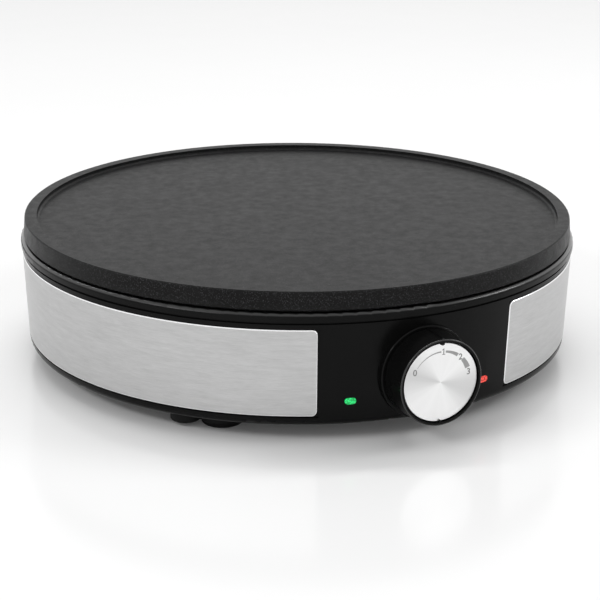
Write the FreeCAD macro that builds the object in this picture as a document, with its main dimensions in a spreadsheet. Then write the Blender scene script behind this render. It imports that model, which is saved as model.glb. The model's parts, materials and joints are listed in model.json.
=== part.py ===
import FreeCAD, Part
import math
import os
import Sketcher

# A round electric crepe maker for the table top, in millimetres and degrees.
# The origin lies on the table, below the middle of the outer box. Z is up, the knob faces -Y
# and X is to the right of someone who faces the knob. A reach is a distance from the plate's axis.

SIZES = {
    # Cooking plate: the skirt and the rim step in from the housing's lip
    "plate_gap": 0.8,
    "rim_inset": 0.8,
    "rim_width": 6.9,
    "rim_bevel": 0.6,
    "skirt_inset": 1.7,
    "skirt_height": 10.5,
    "skirt_wall": 4.5,
    "skirt_round": 0.8,
    "recess_depth": 3.0,
    "recess_round": 1.5,
    "plate_floor": 5.0,
    "post_inset": 19.0,
    "plate_boss_radius": 6.0,
    "plate_boss_length": 8.5,
    "plate_thread_depth": 7.5,
    "thread_spare": 1.0,
    # Tubular heater under the plate
    "heater_inset": 52.5,
    "heater_tube": 3.25,
    "heater_gap": 0.1,
    "heater_rib_wall": 3.2,
    "heater_open_angle": 36.0,
    "heater_leg": 11.0,
    "heater_seal": 4.5,
    "heater_pin": 1.2,
    "heater_pin_length": 6.0,
    # Heat shield, its posts and the long plate screws
    "shield_drop": 28.7,
    "shield_sheet": 0.6,
    "shield_margin": 21.0,
    "shield_rim": 7.0,
    "post_radius": 5.5,
    "spacer_radius": 4.5,
    "plate_screw_radius": 2.0,
    "plate_screw_head": 3.8,
    "plate_screw_head_height": 2.6,
    "screw_seat_depth": 8.0,
    "screw_clearance": 0.2,
    "thread_clearance": 0.05,
    # Housing shell: every reach steps in from the lip and every height up from the low edge
    "lip_radius": 160.0,
    "lip_height": 4.3,
    "lip_round": 2.2,
    "shelf_width": 11.0,
    "groove_width": 1.5,
    "groove_depth": 1.1,
    "band_inset": 0.7,
    "wall_taper": 2.4,
    "housing_low": 9.5,
    "housing_low_round": 3.4,
    "housing_wall": 2.6,
    "wall_under_collar": 0.7,
    "wall_over_collar": 4.4,
    "base_flange_width": 6.4,
    "base_boss_radius": 4.5,
    "base_boss_length": 22.0,
    "base_boss_rib": 3.0,
    "base_boss_floor": 2.0,
    "overlap": 1.0,
    # Brushed trim panels
    "panel_above_base": 5.5,
    "panel_below_groove": 2.85,
    "panel_sheet": 0.8,
    "panel_proud": 0.1,
    "panel_bond": 0.1,
    "panel_gap": 0.7,
    "panel_corner": 3.0,
    "panel_bevel": 0.3,
    "control_half_angle": 20.65,
    # Base cover, pedestals and feet
    "cover_sheet": 2.5,
    "cover_gap": 0.3,
    "vent_inner": 30.0,
    "vent_post_gap": 20.0,
    "vent_width": 4.0,
    "foot_inset": 18.2,
    "foot_angle": 41.8,
    "pedestal_turn": 7.2,
    "pedestal_radius": 12.4,
    "pedestal_screw_radius": 8.2,
    "pedestal_inset": 0.4,
    "pedestal_low": 2.4,
    "pedestal_round": 1.2,
    "foot_radius": 11.4,
    "foot_socket": 1.4,
    "foot_stem_radius": 3.0,
    "foot_stem_length": 5.0,
    "foot_gap": 0.1,
    "foot_round": 1.6,
    "base_screw_radius": 1.75,
    "base_screw_head": 3.4,
    "base_screw_head_height": 2.2,
    "base_screw_length": 14.0,
    # Knob, dial and what carries them
    "collar_radius": 25.5,
    "collar_proud": 2.4,
    "collar_depth": 7.4,
    "collar_rim": 3.5,
    "collar_web": 3.5,
    "collar_round": 0.8,
    "knob_depth": 17.2,
    "knob_step": 1.8,
    "knob_taper": 0.4,
    "knob_wall": 1.6,
    "knob_collar_gap": 0.4,
    "knob_round": 0.6,
    "knob_web": 2.5,
    "knob_web_setback": 7.8,
    "hub_radius": 5.5,
    "hub_gap": 1.5,
    "pointer_width": 2.4,
    "pointer_rise": 0.6,
    "tooth_depth": 1.5,
    "tooth_point": 0.6,
    "tooth_thickness": 0.9,
    "dial_recess": 1.2,
    "dial_sheet": 0.8,
    "dial_gap": 0.4,
    "dial_backing": 1.8,
    "dial_backing_gap": 0.7,
    "dial_post_inset": 12.0,
    "dial_post_radius": 2.0,
    "dial_post_overlap": 1.2,
    "dial_slot_gap": 0.7,
    "dial_base_inner": 7.0,
    "dial_base_margin": 4.0,
    "dial_base_sheet": 1.8,
    "knob_turn_to_off": 70.0,
    "knob_turn_to_high": 73.0,
    "knob_turn_spare": 2.0,
    # Thermostat
    "spindle_radius": 3.0,
    "spindle_flat": 2.0,
    "spindle_fit": 0.05,
    "spindle_gap": 1.0,
    "clip_sheet": 0.4,
    "clip_width": 3.0,
    "bracket_sheet": 1.5,
    "bracket_end": 3.5,
    "bracket_height": 24.0,
    "bracket_screw_margin": 3.5,
    "bracket_screw_radius": 1.5,
    "bracket_screw_head": 2.8,
    "bracket_screw_grip": 3.0,
    "thermostat_width": 28.0,
    "thermostat_tall": 26.0,
    "thermostat_deep": 16.0,
    "thermostat_corner": 3.0,
    "thermostat_bore": 8.0,
    "blade_width": 6.3,
    "blade_sheet": 0.8,
    "blade_length": 8.0,
    "bulb_radius": 3.0,
    "bulb_length": 60.0,
    "bulb_reach": 62.0,
    "fuse_radius": 2.0,
    "fuse_length": 12.0,
    "fuse_reach": 62.0,
    "clamp_sheet": 1.0,
    "clamp_width": 8.0,
    "clamp_gap": 0.15,
    "clamp_foot": 8.0,
    "clamp_screw_radius": 1.5,
    "clamp_screw_head": 2.7,
    "clamp_screw_head_height": 1.8,
    "clamp_screw_grip": 3.5,
    # Indicator lamps
    "lens_angle": 14.4,
    "lens_above_base": 13.5,
    "lens_long": 6.0,
    "lens_tall": 3.4,
    "lens_gap": 0.15,
    "lens_flange": 1.4,
    "lens_flange_sheet": 2.4,
    "lens_flange_gap": 0.7,
    "lens_proud": 0.22,
    "lamp_radius": 2.4,
    "lamp_length": 10.0,
    "lamp_sleeve_wall": 1.0,
    # Cord inlet and terminals
    "inlet_above_base": 14.5,
    "inlet_bore": 3.6,
    "inlet_neck_radius": 6.3,
    "inlet_flange_radius": 8.5,
    "inlet_flange_sheet": 2.0,
    "inlet_flange_bevel": 1.0,
    "inlet_inner_radius": 7.4,
    "inlet_inner_sheet": 2.0,
    "inlet_inner_setback": 1.0,
    "inlet_gap": 0.2,
    "terminal_inset": 32.5,
    "terminal_long": 34.0,
    "terminal_deep": 16.0,
    "terminal_tall": 13.0,
    "terminal_hole": 2.6,
    "terminal_spacing": 10.0,
}

SHEET = "Sizes"
CORNERS = ("front_left", "front_right", "rear_left", "rear_right")


class Size:
    """A number together with the spreadsheet expression that gives it."""

    def __init__(self, value, text):
        self.value = value
        self.text = text

    def __add__(self, other):
        return combine(self, "+", other)

    def __radd__(self, other):
        return combine(other, "+", self)

    def __sub__(self, other):
        return combine(self, "-", other)

    def __rsub__(self, other):
        return combine(other, "-", self)

    def __mul__(self, other):
        return combine(self, "*", other)

    def __rmul__(self, other):
        return combine(other, "*", self)

    def __truediv__(self, other):
        return combine(self, "/", other)

    def __neg__(self):
        return combine(0, "-", self)


def as_size(number):
    """A plain number taken into an expression as it is."""
    if isinstance(number, Size):
        return number
    return Size(float(number), repr(float(number)))


def combine(left, sign, right):
    left = as_size(left)
    right = as_size(right)
    values = {
        "+": lambda: left.value + right.value,
        "-": lambda: left.value - right.value,
        "*": lambda: left.value * right.value,
        "/": lambda: left.value / right.value,
    }
    return Size(values[sign](), f"({left.text} {sign} {right.text})")


def sine(angle):
    angle = as_size(angle)
    return Size(math.sin(math.radians(angle.value)), f"sin({angle.text})")


def cosine(angle):
    angle = as_size(angle)
    return Size(math.cos(math.radians(angle.value)), f"cos({angle.text})")


def around(reach, angle):
    """The point at a reach from the plate's axis, at an angle from the front towards +X."""
    return reach * sine(angle), -(reach * cosine(angle))


doc = FreeCAD.newDocument("CrepeMaker")
sheet = doc.addObject("Spreadsheet::Sheet", SHEET)
size = {}
for row, (word, number) in enumerate(SIZES.items(), start=1):
    sheet.set(f"A{row}", word)
    sheet.set(f"B{row}", str(number))
    sheet.setAlias(f"B{row}", word)
    size[word] = Size(number, f"{SHEET}.{word}")
doc.recompute()
pieces = []
drawn_back = {}


def bind(thing, path, amount):
    """Set a property, or a part of one, by an expression over the sheet."""
    thing.setExpression(path, as_size(amount).text)


def new_body(label):
    body = doc.addObject("PartDesign::Body", label)
    body.Label = label
    pieces.append(body)
    return body


def face_forward(body, reach, height, angle=90):
    """Turn a body drawn along +Z so that it points out of the front, or with -90 out of the rear."""
    turn = FreeCAD.Rotation(FreeCAD.Vector(1, 0, 0), angle)
    body.Placement = FreeCAD.Placement(FreeCAD.Vector(0, 0, 0), turn)
    drawn_back[body.Label] = -as_size(reach) if angle > 0 else as_size(reach)
    bind(body, "Placement.Base.z", height)


def new_sketch(body, name, role, lift=0.0):
    """A sketch on one of the body's own planes, lifted along that plane's normal."""
    sketch = body.newObject("Sketcher::SketchObject", name)
    plane = [item for item in body.Origin.OriginFeatures if item.Role == role][0]
    sketch.AttachmentSupport = [(plane, "")]
    sketch.MapMode = "FlatFace"
    bind(sketch, "AttachmentOffset.Base.z", lift)
    return sketch


def radial_sketch(body, name, angle, reach, height=0.0):
    """An upright sketch that looks straight out from the plate's axis at an angle from the front."""
    sketch = new_sketch(body, name, "XZ_Plane")
    angle = as_size(angle)
    side = 1 if angle.value >= 0 else -1
    swing = FreeCAD.Rotation(FreeCAD.Vector(0, side, 0), abs(angle.value))
    sketch.AttachmentOffset = FreeCAD.Placement(FreeCAD.Vector(0, 0, 0), swing)
    bind(sketch, "AttachmentOffset.Base.x", reach * sine(angle))
    bind(sketch, "AttachmentOffset.Base.y", height)
    bind(sketch, "AttachmentOffset.Base.z", reach * cosine(angle))
    if angle.value != 0:
        bind(sketch, "AttachmentOffset.Rotation.Angle", side * angle)
    return sketch


def fix_distance(sketch, kind, index, corner, amount):
    amount = as_size(amount)
    number = sketch.addConstraint(
        Sketcher.Constraint(kind, -1, 1, index, corner, amount.value)
    )
    sketch.setExpression(f"Constraints[{number}]", amount.text)


def draw_outline(sketch, points):
    """A closed outline of straight lines, each corner held at its two sizes."""
    count = len(points)
    first = sketch.GeometryCount
    corners = [(as_size(across), as_size(up)) for across, up in points]
    for index, (across, up) in enumerate(corners):
        end_across, end_up = corners[(index + 1) % count]
        start = FreeCAD.Vector(across.value, up.value, 0)
        end = FreeCAD.Vector(end_across.value, end_up.value, 0)
        sketch.addGeometry(Part.LineSegment(start, end), False)
    for index in range(count):
        following = first + (index + 1) % count
        sketch.addConstraint(
            Sketcher.Constraint("Coincident", first + index, 2, following, 1)
        )
    for index, (across, up) in enumerate(corners):
        fix_distance(sketch, "DistanceX", first + index, 1, across)
        fix_distance(sketch, "DistanceY", first + index, 1, up)


def draw_box(sketch, width, height, across=0.0, up=0.0):
    half_width = width / 2
    half_height = height / 2
    draw_outline(
        sketch,
        [
            (across - half_width, up - half_height),
            (across + half_width, up - half_height),
            (across + half_width, up + half_height),
            (across - half_width, up + half_height),
        ],
    )


def draw_circle(sketch, radius, across=0.0, up=0.0):
    across = as_size(across)
    up = as_size(up)
    radius = as_size(radius)
    centre = FreeCAD.Vector(across.value, up.value, 0)
    circle = Part.Circle(centre, FreeCAD.Vector(0, 0, 1), radius.value)
    index = sketch.addGeometry(circle, False)
    number = sketch.addConstraint(Sketcher.Constraint("Radius", index, radius.value))
    sketch.setExpression(f"Constraints[{number}]", radius.text)
    fix_distance(sketch, "DistanceX", index, 3, across)
    fix_distance(sketch, "DistanceY", index, 3, up)


def draw_slot(sketch, length, width):
    """A stadium, long sideways, centred on the sketch's own origin."""
    radius = as_size(width / 2)
    half = as_size((length - width) / 2)
    low = -radius.value
    high = radius.value
    left = -half.value
    right = half.value
    quarter = math.pi / 2
    up = FreeCAD.Vector(0, 0, 1)
    bottom = sketch.addGeometry(
        Part.LineSegment(FreeCAD.Vector(left, low, 0), FreeCAD.Vector(right, low, 0)), False
    )
    east = Part.Circle(FreeCAD.Vector(right, 0, 0), up, high)
    east_arc = sketch.addGeometry(Part.ArcOfCircle(east, -quarter, quarter), False)
    top = sketch.addGeometry(
        Part.LineSegment(FreeCAD.Vector(right, high, 0), FreeCAD.Vector(left, high, 0)), False
    )
    west = Part.Circle(FreeCAD.Vector(left, 0, 0), up, high)
    west_arc = sketch.addGeometry(Part.ArcOfCircle(west, quarter, 3 * quarter), False)
    loop = [bottom, east_arc, top, west_arc]
    for index, item in enumerate(loop):
        following = loop[(index + 1) % len(loop)]
        sketch.addConstraint(Sketcher.Constraint("Coincident", item, 2, following, 1))
    for arc, across in ((east_arc, half), (west_arc, -half)):
        fix_distance(sketch, "DistanceX", arc, 3, across)
    for line, height, way in ((bottom, -radius, 1), (top, radius, -1)):
        for corner, across in ((1, -way * half), (2, way * half)):
            fix_distance(sketch, "DistanceX", line, corner, across)
            fix_distance(sketch, "DistanceY", line, corner, height)


def volume_of(body):
    return body.Shape.Volume if body.Shape and not body.Shape.isNull() else 0.0


def settle(body, before, grows, feature):
    """Recompute and make sure that the feature added or took material as it was meant to."""
    doc.recompute()
    change = volume_of(body) - before
    if (change > 0) != grows or abs(change) < 1e-6:
        raise ValueError(f"{body.Label}.{feature.Name} changed the volume by {change:.3f}")
    return feature


def pad(body, sketch, length, name="Pad"):
    before = volume_of(body)
    feature = body.newObject("PartDesign::Pad", name)
    feature.Profile = sketch
    bind(feature, "Length", length)
    return settle(body, before, True, feature)


def cut(body, sketch, length, name="Pocket"):
    """A pocket that runs from the sketch along its normal, the same way as a pad."""
    before = volume_of(body)
    feature = body.newObject("PartDesign::Pocket", name)
    feature.Profile = sketch
    feature.Reversed = True
    bind(feature, "Length", length)
    return settle(body, before, False, feature)


def turn(body, sketch, name="Revolution", angle=360.0, axis="V_Axis"):
    before = volume_of(body)
    feature = body.newObject("PartDesign::Revolution", name)
    feature.Profile = sketch
    feature.ReferenceAxis = (sketch, [axis])
    feature.Midplane = True
    bind(feature, "Angle", angle)
    return settle(body, before, True, feature)


def turn_out(body, sketch, name="Groove", angle=360.0):
    """Material turned away, evenly to both sides of the sketch."""
    before = volume_of(body)
    feature = body.newObject("PartDesign::Groove", name)
    feature.Profile = sketch
    feature.ReferenceAxis = (sketch, ["V_Axis"])
    feature.Midplane = True
    bind(feature, "Angle", angle)
    return settle(body, before, False, feature)


def repeat_round(body, features, count, grows, name="PolarPattern"):
    """Copies of features spread evenly round the body's own Z axis."""
    before = volume_of(body)
    pattern = body.newObject("PartDesign::PolarPattern", name)
    pattern.Originals = features
    axis = [item for item in body.Origin.OriginFeatures if item.Role == "Z_Axis"][0]
    pattern.Axis = (axis, [""])
    pattern.Angle = 360
    pattern.Occurrences = count
    body.Tip = pattern
    return settle(body, before, grows, pattern)


def edge_names(body, wanted):
    edges = body.Shape.Edges
    return [f"Edge{number}" for number, edge in enumerate(edges, start=1) if wanted(edge)]


def ring_at(radius, height):
    """A test for the circular edges of one radius round Z, at one height."""
    radius = as_size(radius).value
    height = as_size(height).value

    def wanted(edge):
        curve = edge.Curve
        if not isinstance(curve, Part.Circle):
            return False
        centred = math.hypot(curve.Center.x, curve.Center.y) < 0.01
        return centred and abs(curve.Radius - radius) < 0.01 and abs(curve.Center.z - height) < 0.01

    return wanted


def dress(body, kind, amount, wanted, name):
    """A fillet or a chamfer on the edges that pass a test."""
    before = volume_of(body)
    names = edge_names(body, wanted)
    if not names:
        raise ValueError(f"{body.Label}.{name} finds no edge")
    base = body.Tip
    feature = body.newObject(kind, name)
    feature.Base = (base, names)
    bind(feature, "Radius" if kind.endswith("Fillet") else "Size", amount)
    doc.recompute()
    if abs(volume_of(body) - before) < 1e-6:
        raise ValueError(f"{body.Label}.{name} changes nothing")
    return feature


def round_off(body, amount, wanted, name="Fillet"):
    return dress(body, "PartDesign::Fillet", amount, wanted, name)


def bevel(body, amount, wanted, name="Chamfer"):
    return dress(body, "PartDesign::Chamfer", amount, wanted, name)


# Heights of the housing, from the low edge upwards
knob_height = size["housing_low"] + size["wall_under_collar"] + size["collar_radius"]
groove_height = knob_height + size["collar_radius"] + size["wall_over_collar"]
lip_top = groove_height + size["groove_width"] + size["lip_height"]
rim_height = lip_top + size["plate_gap"] + size["skirt_height"]
panel_low = size["housing_low"] + size["panel_above_base"]
panel_high = groove_height - size["panel_below_groove"]
lens_height = size["housing_low"] + size["lens_above_base"]
inlet_height = size["housing_low"] + size["inlet_above_base"]

# Reaches of the housing and the plate, from the lip inwards
band_radius = size["lip_radius"] - size["band_inset"]
housing_low_radius = band_radius - size["wall_taper"]
shelf_radius = size["lip_radius"] - size["shelf_width"]
base_flange_radius = housing_low_radius - size["base_flange_width"]
skirt_radius = size["lip_radius"] - size["skirt_inset"]
rim_radius = skirt_radius - size["rim_inset"]
heater_pitch = rim_radius - size["heater_inset"]
post_pitch = heater_pitch - size["post_inset"]
shield_radius = heater_pitch + size["shield_margin"]
terminal_reach = base_flange_radius - size["terminal_inset"]
foot_pitch = base_flange_radius - size["foot_inset"]
vent_outer = post_pitch - size["vent_post_gap"]

# Heights and reaches that several pieces share
cooking_height = rim_height - size["recess_depth"]
plate_underside = cooking_height - size["plate_floor"]
shield_height = plate_underside - size["shield_drop"]
skirt_low = rim_height - size["skirt_height"]
plate_boss_low = plate_underside - size["plate_boss_length"]
heater_rib_depth = 2 * size["heater_tube"]
heater_rib_low = plate_underside - heater_rib_depth
heater_height = heater_rib_low + size["heater_tube"]
heater_rib_half = size["heater_tube"] + size["heater_gap"] + size["heater_rib_wall"]
heater_leg_low = heater_height - size["heater_leg"]
heater_seal_low = heater_leg_low - size["heater_seal"]
shield_top = shield_height + size["shield_sheet"]
cover_low = size["housing_low"]
cover_top = cover_low + size["cover_sheet"]
screw_seat = cover_top + size["screw_seat_depth"]
cover_radius = base_flange_radius - size["cover_gap"]
base_screw_pitch = cover_radius - size["pedestal_inset"] - size["pedestal_screw_radius"]
post_hole_radius = size["plate_screw_radius"] + size["screw_clearance"]
wall_rise = size["wall_taper"] / (groove_height - size["housing_low"])


def wall_reach(height):
    """The reach of the housing's tapered outer wall at a height."""
    return housing_low_radius + wall_rise * (height - size["housing_low"])


# The collar, the knob and the dial, from the wall outwards
collar_reach = wall_reach(knob_height) + size["collar_proud"]
collar_back = collar_reach - size["collar_depth"]
collar_floor = collar_back + size["collar_web"]
collar_pocket_radius = size["collar_radius"] - size["collar_rim"]
knob_face_reach = collar_reach + size["knob_depth"]
knob_back_radius = size["collar_radius"] - size["knob_step"]
knob_front_radius = knob_back_radius - size["knob_taper"]
hub_reach = collar_floor + size["hub_gap"]
dial_post_pitch = size["collar_radius"] - size["dial_post_inset"]
dial_base_outer = dial_post_pitch + size["dial_post_radius"] + size["dial_base_margin"]
bracket_screw_pitch = size["thermostat_width"] / 2 + size["bracket_screw_margin"]
bracket_width = 2 * (bracket_screw_pitch + size["bracket_end"])
lens_reach = wall_reach(lens_height) + size["lens_proud"]
lens_hole_start = wall_reach(lens_height) - size["housing_wall"] - size["overlap"]
inlet_hole_start = wall_reach(inlet_height) - size["housing_wall"] - size["overlap"]
hole_length = size["housing_wall"] + 2 * size["overlap"]

# Every piece is drawn about the plate's axis, then moved back by this much, so that the
# origin lies below the middle of the whole outer box
setback = (knob_face_reach - size["lip_radius"]) / 2


def post_points():
    """The four places under the plate where a post, a spacer and a long screw stand."""
    return [around(post_pitch, angle) for angle in (45, 135, 225, 315)]


def foot_angle_at(corner):
    """The foot's angle from the front, positive on the right."""
    angle = size["foot_angle"] if corner.startswith("front") else 180 - size["foot_angle"]
    return angle if corner.endswith("right") else -angle


def base_screw_point(corner):
    """The base screw sits at the pedestal's other end, away from the front and the rear."""
    angle = foot_angle_at(corner)
    toward_side = 1 if corner in ("front_right", "rear_left") else -1
    return around(base_screw_pitch, angle + toward_side * size["pedestal_turn"])


def foot_point(corner):
    return around(foot_pitch, foot_angle_at(corner))


def make_cooking_plate():
    """The cast plate: a shallow recess inside a flat rim, and a skirt over the housing's lip."""
    body = new_body("cooking_plate")
    inner_rim = rim_radius - size["rim_width"]
    inner_skirt = skirt_radius - size["skirt_wall"]
    profile = new_sketch(body, "PlateProfile", "XZ_Plane")
    draw_outline(
        profile,
        [
            (0, plate_underside),
            (inner_skirt, plate_underside),
            (inner_skirt, skirt_low),
            (skirt_radius, skirt_low),
            (rim_radius, rim_height),
            (inner_rim, rim_height),
            (inner_rim, cooking_height),
            (0, cooking_height),
        ],
    )
    turn(body, profile)
    bevel(body, size["rim_bevel"], ring_at(rim_radius, rim_height), "RimBevel")
    round_off(body, size["skirt_round"], ring_at(skirt_radius, skirt_low), "SkirtRound")
    round_off(body, size["recess_round"], ring_at(inner_rim, cooking_height), "RecessRound")
    rib = new_sketch(body, "HeaterRib", "XY_Plane", heater_rib_low)
    draw_circle(rib, heater_pitch + heater_rib_half)
    draw_circle(rib, heater_pitch - heater_rib_half)
    pad(body, rib, heater_rib_depth + size["overlap"], "RibPad")
    bosses = new_sketch(body, "Bosses", "XY_Plane", plate_boss_low)
    for across, up in post_points():
        draw_circle(bosses, size["plate_boss_radius"], across, up)
    pad(body, bosses, size["plate_boss_length"] + size["overlap"], "BossPad")
    channel = new_sketch(body, "HeaterChannel", "XY_Plane", heater_rib_low)
    reach = size["heater_tube"] + size["heater_gap"]
    draw_circle(channel, heater_pitch + reach)
    draw_circle(channel, heater_pitch - reach)
    cut(body, channel, heater_rib_depth + size["heater_gap"], "ChannelCut")
    threads = new_sketch(body, "ThreadHoles", "XY_Plane", plate_boss_low)
    for across, up in post_points():
        draw_circle(threads, size["plate_screw_radius"] + size["thread_clearance"], across, up)
    cut(body, threads, size["plate_thread_depth"], "ThreadCut")
    small = new_sketch(body, "ClampThreads", "XY_Plane", plate_underside)
    for across, up in clamp_screw_points():
        draw_circle(small, size["clamp_screw_radius"] + size["thread_clearance"], across, up)
    cut(body, small, size["clamp_screw_grip"] + size["heater_gap"], "ClampThreadCut")


def heater_end_points():
    """Where the heater's two ends turn down, at the rear."""
    half = size["heater_open_angle"] / 2
    return [around(heater_pitch, angle) for angle in (180 - half, 180 + half)]


def make_heating_element():
    """A tubular heater: an open ring in the plate's channel with two legs turned down."""
    body = new_body("heating_element")
    section = new_sketch(body, "TubeSection", "YZ_Plane")
    draw_circle(section, size["heater_tube"], -heater_pitch, heater_height)
    turn(body, section, "Ring", 360 - size["heater_open_angle"])
    legs = new_sketch(body, "Legs", "XY_Plane", heater_leg_low)
    for across, up in heater_end_points():
        draw_circle(legs, size["heater_tube"], across, up)
    pad(body, legs, size["heater_leg"], "LegPad")


def make_heater_seals():
    """Ceramic beads that close the heater's ends."""
    body = new_body("heater_seals")
    beads = new_sketch(body, "Beads", "XY_Plane", heater_seal_low)
    for across, up in heater_end_points():
        draw_circle(beads, size["heater_tube"] - size["heater_gap"], across, up)
        draw_circle(beads, size["heater_pin"] + size["thread_clearance"], across, up)
    pad(body, beads, size["heater_seal"])


def make_heater_pins():
    """The cold pins that the leads are crimped to."""
    body = new_body("heater_pins")
    pins = new_sketch(body, "Pins", "XY_Plane", heater_seal_low - size["heater_pin_length"])
    for across, up in heater_end_points():
        draw_circle(pins, size["heater_pin"], across, up)
    pad(body, pins, size["heater_pin_length"] + size["heater_seal"])


def make_heat_shield():
    """A thin dished pan that keeps the plate's heat off the base."""
    body = new_body("heat_shield")
    low = shield_height
    sheet = size["shield_sheet"]
    outer = shield_radius
    profile = new_sketch(body, "PanProfile", "XZ_Plane")
    draw_outline(
        profile,
        [
            (0, low),
            (outer, low),
            (outer + sheet, low + size["shield_rim"]),
            (outer, low + size["shield_rim"]),
            (outer - sheet, low + sheet),
            (0, low + sheet),
        ],
    )
    turn(body, profile)
    holes = new_sketch(body, "ScrewHoles", "XY_Plane", low)
    for across, up in post_points():
        draw_circle(holes, post_hole_radius, across, up)
    for across, up in heater_end_points():
        draw_circle(holes, 2 * size["heater_tube"], across, up)
    cut(body, holes, sheet)


def make_plate_spacers():
    """Four tubes that hold the plate above the heat shield."""
    body = new_body("plate_spacers")
    tubes = new_sketch(body, "Tubes", "XY_Plane", shield_top)
    for across, up in post_points():
        draw_circle(tubes, size["spacer_radius"], across, up)
        draw_circle(tubes, post_hole_radius, across, up)
    pad(body, tubes, plate_boss_low - shield_top)


def make_plate_screws():
    """Four long screws from the base up into the plate's bosses."""
    body = new_body("plate_screws")
    heads = new_sketch(body, "Heads", "XY_Plane", screw_seat - size["plate_screw_head_height"])
    shanks = new_sketch(body, "Shanks", "XY_Plane", screw_seat)
    for across, up in post_points():
        draw_circle(heads, size["plate_screw_head"], across, up)
        draw_circle(shanks, size["plate_screw_radius"], across, up)
    pad(body, heads, size["plate_screw_head_height"], "HeadPad")
    reach = plate_boss_low + size["plate_thread_depth"] - size["thread_spare"] - screw_seat
    pad(body, shanks, reach, "ShankPad")


def make_housing_shell():
    """The moulded ring: lip and groove, panel recesses, knob collar, lens and inlet holes."""
    body = new_body("housing_shell")
    low = size["housing_low"]
    wall = size["housing_wall"]
    flange_top = cover_low + size["cover_sheet"]
    shelf_low = lip_top - wall
    groove_top = groove_height + size["groove_width"]
    profile = new_sketch(body, "ShellProfile", "XZ_Plane")
    draw_outline(
        profile,
        [
            (base_flange_radius, low),
            (housing_low_radius, low),
            (band_radius, groove_height),
            (band_radius - size["groove_depth"], groove_height),
            (band_radius - size["groove_depth"], groove_top),
            (size["lip_radius"], groove_top),
            (size["lip_radius"], lip_top),
            (shelf_radius, lip_top),
            (shelf_radius, shelf_low),
            (band_radius - size["groove_depth"] - wall, shelf_low),
            (wall_reach(flange_top) - wall, flange_top),
            (base_flange_radius, flange_top),
        ],
    )
    turn(body, profile)
    round_off(
        body, size["housing_low_round"], ring_at(housing_low_radius, low), "LowRound"
    )
    round_off(body, size["lip_round"], ring_at(size["lip_radius"], lip_top), "LipRound")

    ribs = new_sketch(body, "BossRibs", "XY_Plane", flange_top)
    bosses = new_sketch(body, "BaseBosses", "XY_Plane", flange_top)
    threads = new_sketch(body, "BaseThreads", "XY_Plane", flange_top)
    for corner in CORNERS:
        across, up = base_screw_point(corner)
        draw_circle(bosses, size["base_boss_radius"], across, up)
        draw_circle(threads, size["base_screw_radius"] + size["thread_clearance"], across, up)
        angle = foot_angle_at(corner)
        side = 1 if corner in ("front_right", "rear_left") else -1
        angle = angle + side * size["pedestal_turn"]
        half = size["base_boss_rib"] / 2
        inner = base_screw_pitch
        outer = wall_reach(flange_top) - size["overlap"]
        out_x, out_y = around(1.0, angle)
        side_x, side_y = around(half, angle + 90)
        draw_outline(
            ribs,
            [
                (inner * out_x - side_x, inner * out_y - side_y),
                (outer * out_x - side_x, outer * out_y - side_y),
                (outer * out_x + side_x, outer * out_y + side_y),
                (inner * out_x + side_x, inner * out_y + side_y),
            ],
        )
    pad(body, ribs, size["base_boss_length"], "RibPad")
    pad(body, bosses, size["base_boss_length"], "BossPad")
    cut(body, threads, size["base_boss_length"] - size["base_boss_floor"], "ThreadCut")

    recess_low = panel_low - size["panel_gap"]
    recess_high = panel_high + size["panel_gap"]
    depth = size["panel_sheet"] + size["panel_bond"] - size["panel_proud"]
    recess = new_sketch(body, "PanelRecess", "XZ_Plane")
    draw_outline(
        recess,
        [
            (wall_reach(recess_low) - depth, recess_low),
            (wall_reach(recess_low) + size["overlap"], recess_low),
            (wall_reach(recess_high) + size["overlap"], recess_high),
            (wall_reach(recess_high) - depth, recess_high),
        ],
    )
    recess_cut = turn_out(body, recess, "RecessCut", recess_span())
    repeat_round(body, [recess_cut], 2, False, "RecessPair")

    collar = radial_sketch(body, "Collar", 0, collar_back, knob_height)
    draw_circle(collar, size["collar_radius"])
    pad(body, collar, collar_reach - collar_back, "CollarPad")
    pocket = radial_sketch(body, "CollarPocket", 0, collar_floor, knob_height)
    draw_circle(pocket, collar_pocket_radius)
    cut(body, pocket, collar_reach - collar_floor, "CollarCut")
    round_off(body, size["collar_round"], collar_rim, "CollarRound")
    hole = radial_sketch(body, "SpindleHole", 0, collar_back, knob_height)
    draw_circle(hole, size["spindle_radius"] + size["spindle_gap"])
    for side in (-1, 1):
        draw_circle(
            hole, size["bracket_screw_radius"] + size["thread_clearance"],
            side * bracket_screw_pitch,
        )
    cut(body, hole, size["collar_web"], "SpindleCut")

    for name, angle in (("GreenHole", -size["lens_angle"]), ("RedHole", size["lens_angle"])):
        opening = radial_sketch(body, name, angle, lens_hole_start, lens_height)
        gap = 2 * size["lens_gap"]
        draw_slot(opening, size["lens_long"] + gap, size["lens_tall"] + gap)
        cut(body, opening, hole_length, name + "Cut")
    inlet = radial_sketch(body, "InletHole", 180, inlet_hole_start, inlet_height)
    draw_circle(inlet, size["inlet_neck_radius"] + size["inlet_gap"])
    cut(body, inlet, hole_length, "InletCut")


def recess_span():
    """The angle of one panel recess: half a turn less the bare stretches at front and rear."""
    slack = 180 / math.pi * size["panel_gap"] / housing_low_radius
    return 180 - 2 * size["control_half_angle"] + 2 * slack


def collar_rim(edge):
    """The collar's outer front edge."""
    curve = edge.Curve
    if not isinstance(curve, Part.Circle):
        return False
    front = abs(curve.Center.y + collar_reach.value) < 0.01
    return front and abs(curve.Radius - size["collar_radius"].value) < 0.01


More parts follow.
